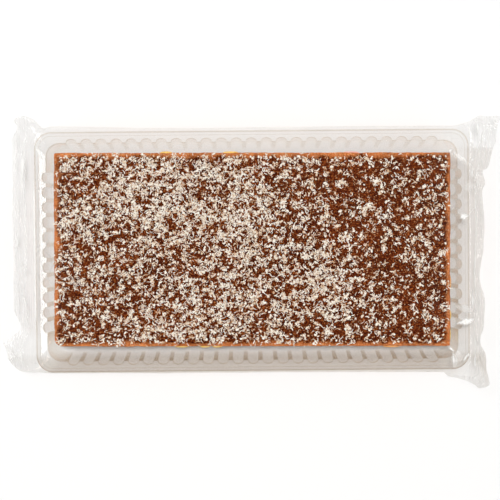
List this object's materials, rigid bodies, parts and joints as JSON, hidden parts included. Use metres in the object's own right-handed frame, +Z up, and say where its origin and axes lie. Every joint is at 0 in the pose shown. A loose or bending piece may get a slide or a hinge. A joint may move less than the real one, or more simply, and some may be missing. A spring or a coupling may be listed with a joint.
{
  "type": "lolly cake",
  "caption": "Flat slab of biscuit lolly cake topped with shredded coconut, in a clear fluted tray sealed in a clear film wrap with crimped ends.",
  "frame": {"origin": "middle of the tray's base, on the surface the pack rests on", "axes": "+X along the pack towards one end seal, +Y across it, +Z up out of the tray"},
  "size_m": [0.2768, 0.1504, 0.0249],
  "materials": {
    "cake": "crumbly biscuit and condensed milk cake, standing in for food",
    "tray": "clear thermoformed PET",
    "film": "clear crinkled packing film",
    "coconut": "dry shredded coconut, standing in for food",
    "lolly_yellow": "soft sugar lolly, standing in for food",
    "lolly_orange": "soft sugar lolly, standing in for food",
    "lolly_pink": "soft sugar lolly, standing in for food"
  },
  "bodies": {
    "root": {"lolly_cake": "cake", "clear_tray": "tray", "film_wrap": "film", "lolly_front_1": "lolly_yellow", "lolly_front_2": "lolly_yellow", "lolly_front_3": "lolly_yellow", "lolly_front_4": "lolly_orange", "lolly_back_1": "lolly_yellow", "lolly_back_2": "lolly_yellow", "lolly_back_3": "lolly_pink", "lolly_right_1": "lolly_orange", "lolly_right_2": "lolly_yellow", "lolly_right_3": "lolly_yellow", "lolly_left_1": "lolly_pink", "lolly_left_2": "lolly_pink"}
  },
  "joints": []
}
